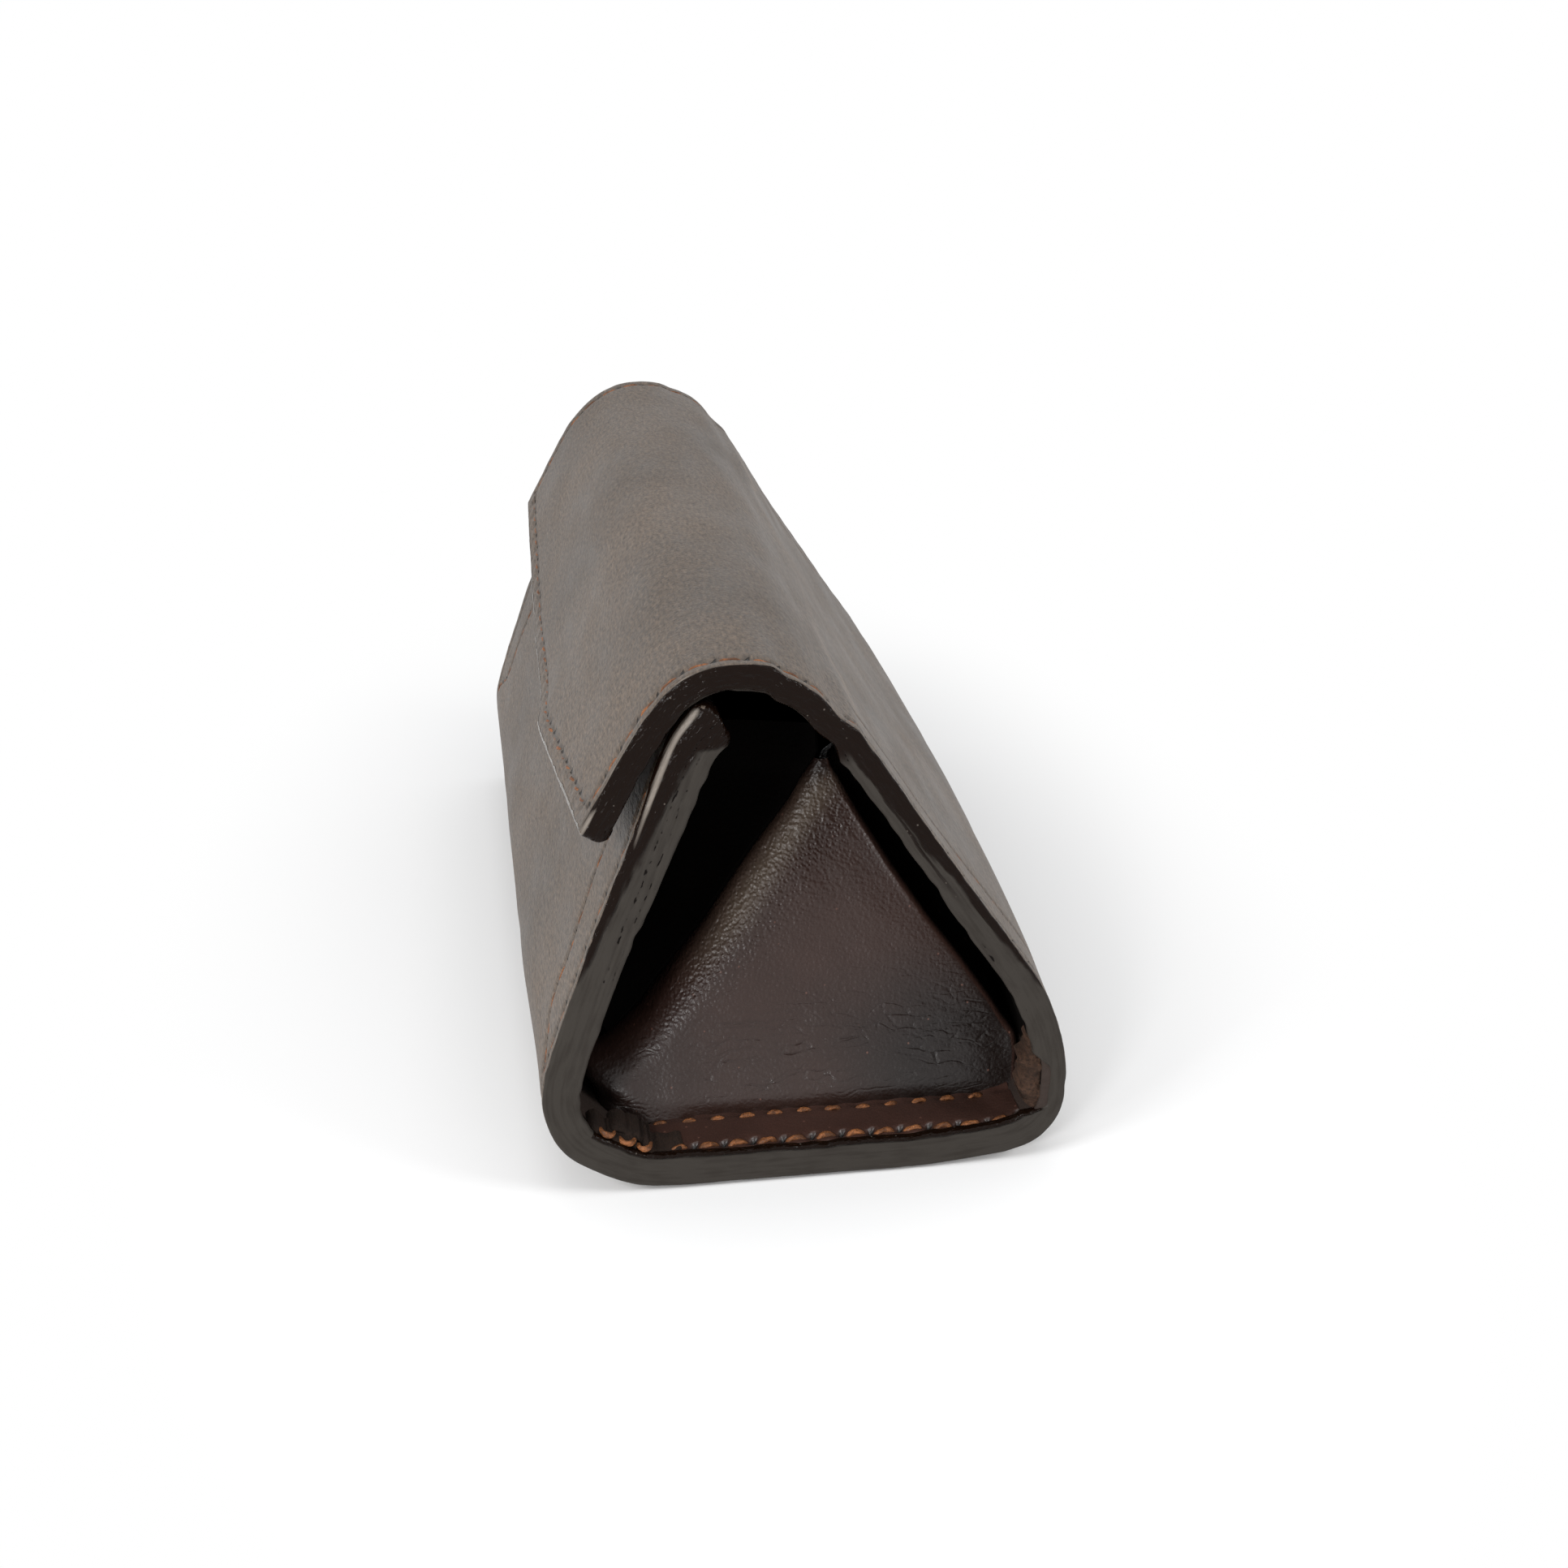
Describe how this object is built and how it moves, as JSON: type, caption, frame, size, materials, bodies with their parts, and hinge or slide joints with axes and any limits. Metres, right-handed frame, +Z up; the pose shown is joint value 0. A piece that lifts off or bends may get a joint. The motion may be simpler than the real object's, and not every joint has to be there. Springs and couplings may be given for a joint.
{
  "type": "glasses case",
  "caption": "Triangular leather glasses case with a wrap-over magnetic flap, an opening front wall and folded end gussets.",
  "frame": {"origin": "middle of the base, on the surface that the closed case stands on", "axes": "+X along the case to the right end, +Y to the back wall, +Z up; the flap and the front wall are on the -Y side"},
  "size_m": [0.156, 0.074, 0.0782],
  "materials": {
    "outer_leather": "smooth semi-matt",
    "lining_leather": "matt",
    "gusset_leather": "fine grained semi-matt",
    "thread": "waxed",
    "magnet": "nickel plated"
  },
  "bodies": {
    "case": {"outer_body": "outer_leather", "lining_body": "lining_leather", "gusset_right": "gusset_leather", "gusset_left": "gusset_leather", "thread_base_edge_right": "thread", "thread_base_edge_left": "thread", "thread_base_crease_right": "thread", "thread_base_crease_left": "thread", "thread_back_edge_right": "thread", "thread_back_edge_left": "thread", "thread_back_inner_right": "thread", "thread_back_inner_left": "thread"},
    "front_wall": {"outer_front": "outer_leather", "lining_front": "lining_leather", "gusset_right_front": "gusset_leather", "gusset_left_front": "gusset_leather", "front_magnet": "magnet", "thread_front_right": "thread", "thread_front_left": "thread"},
    "flap": {"outer_flap": "outer_leather", "lining_flap": "lining_leather", "flap_magnet": "magnet", "thread_flap_end_right": "thread", "thread_flap_end_left": "thread", "thread_flap_edge": "thread"}
  },
  "joints": [
    {"name": "flap_open", "type": "hinge", "parent": "case", "child": "flap", "pos_m": [0, 0.005, 0.07019], "axis": [-1, 0, 0], "range_deg": [0, 140]},
    {"name": "front_wall_open", "type": "hinge", "parent": "case", "child": "front_wall", "pos_m": [0, -0.03606, 0.02023], "axis": [1, 0, 0], "range_deg": [0, 15]}
  ],
  "couplings": [
    {"joint": "front_wall_open", "follows": "flap_open", "ratio": 0.1}
  ]
}
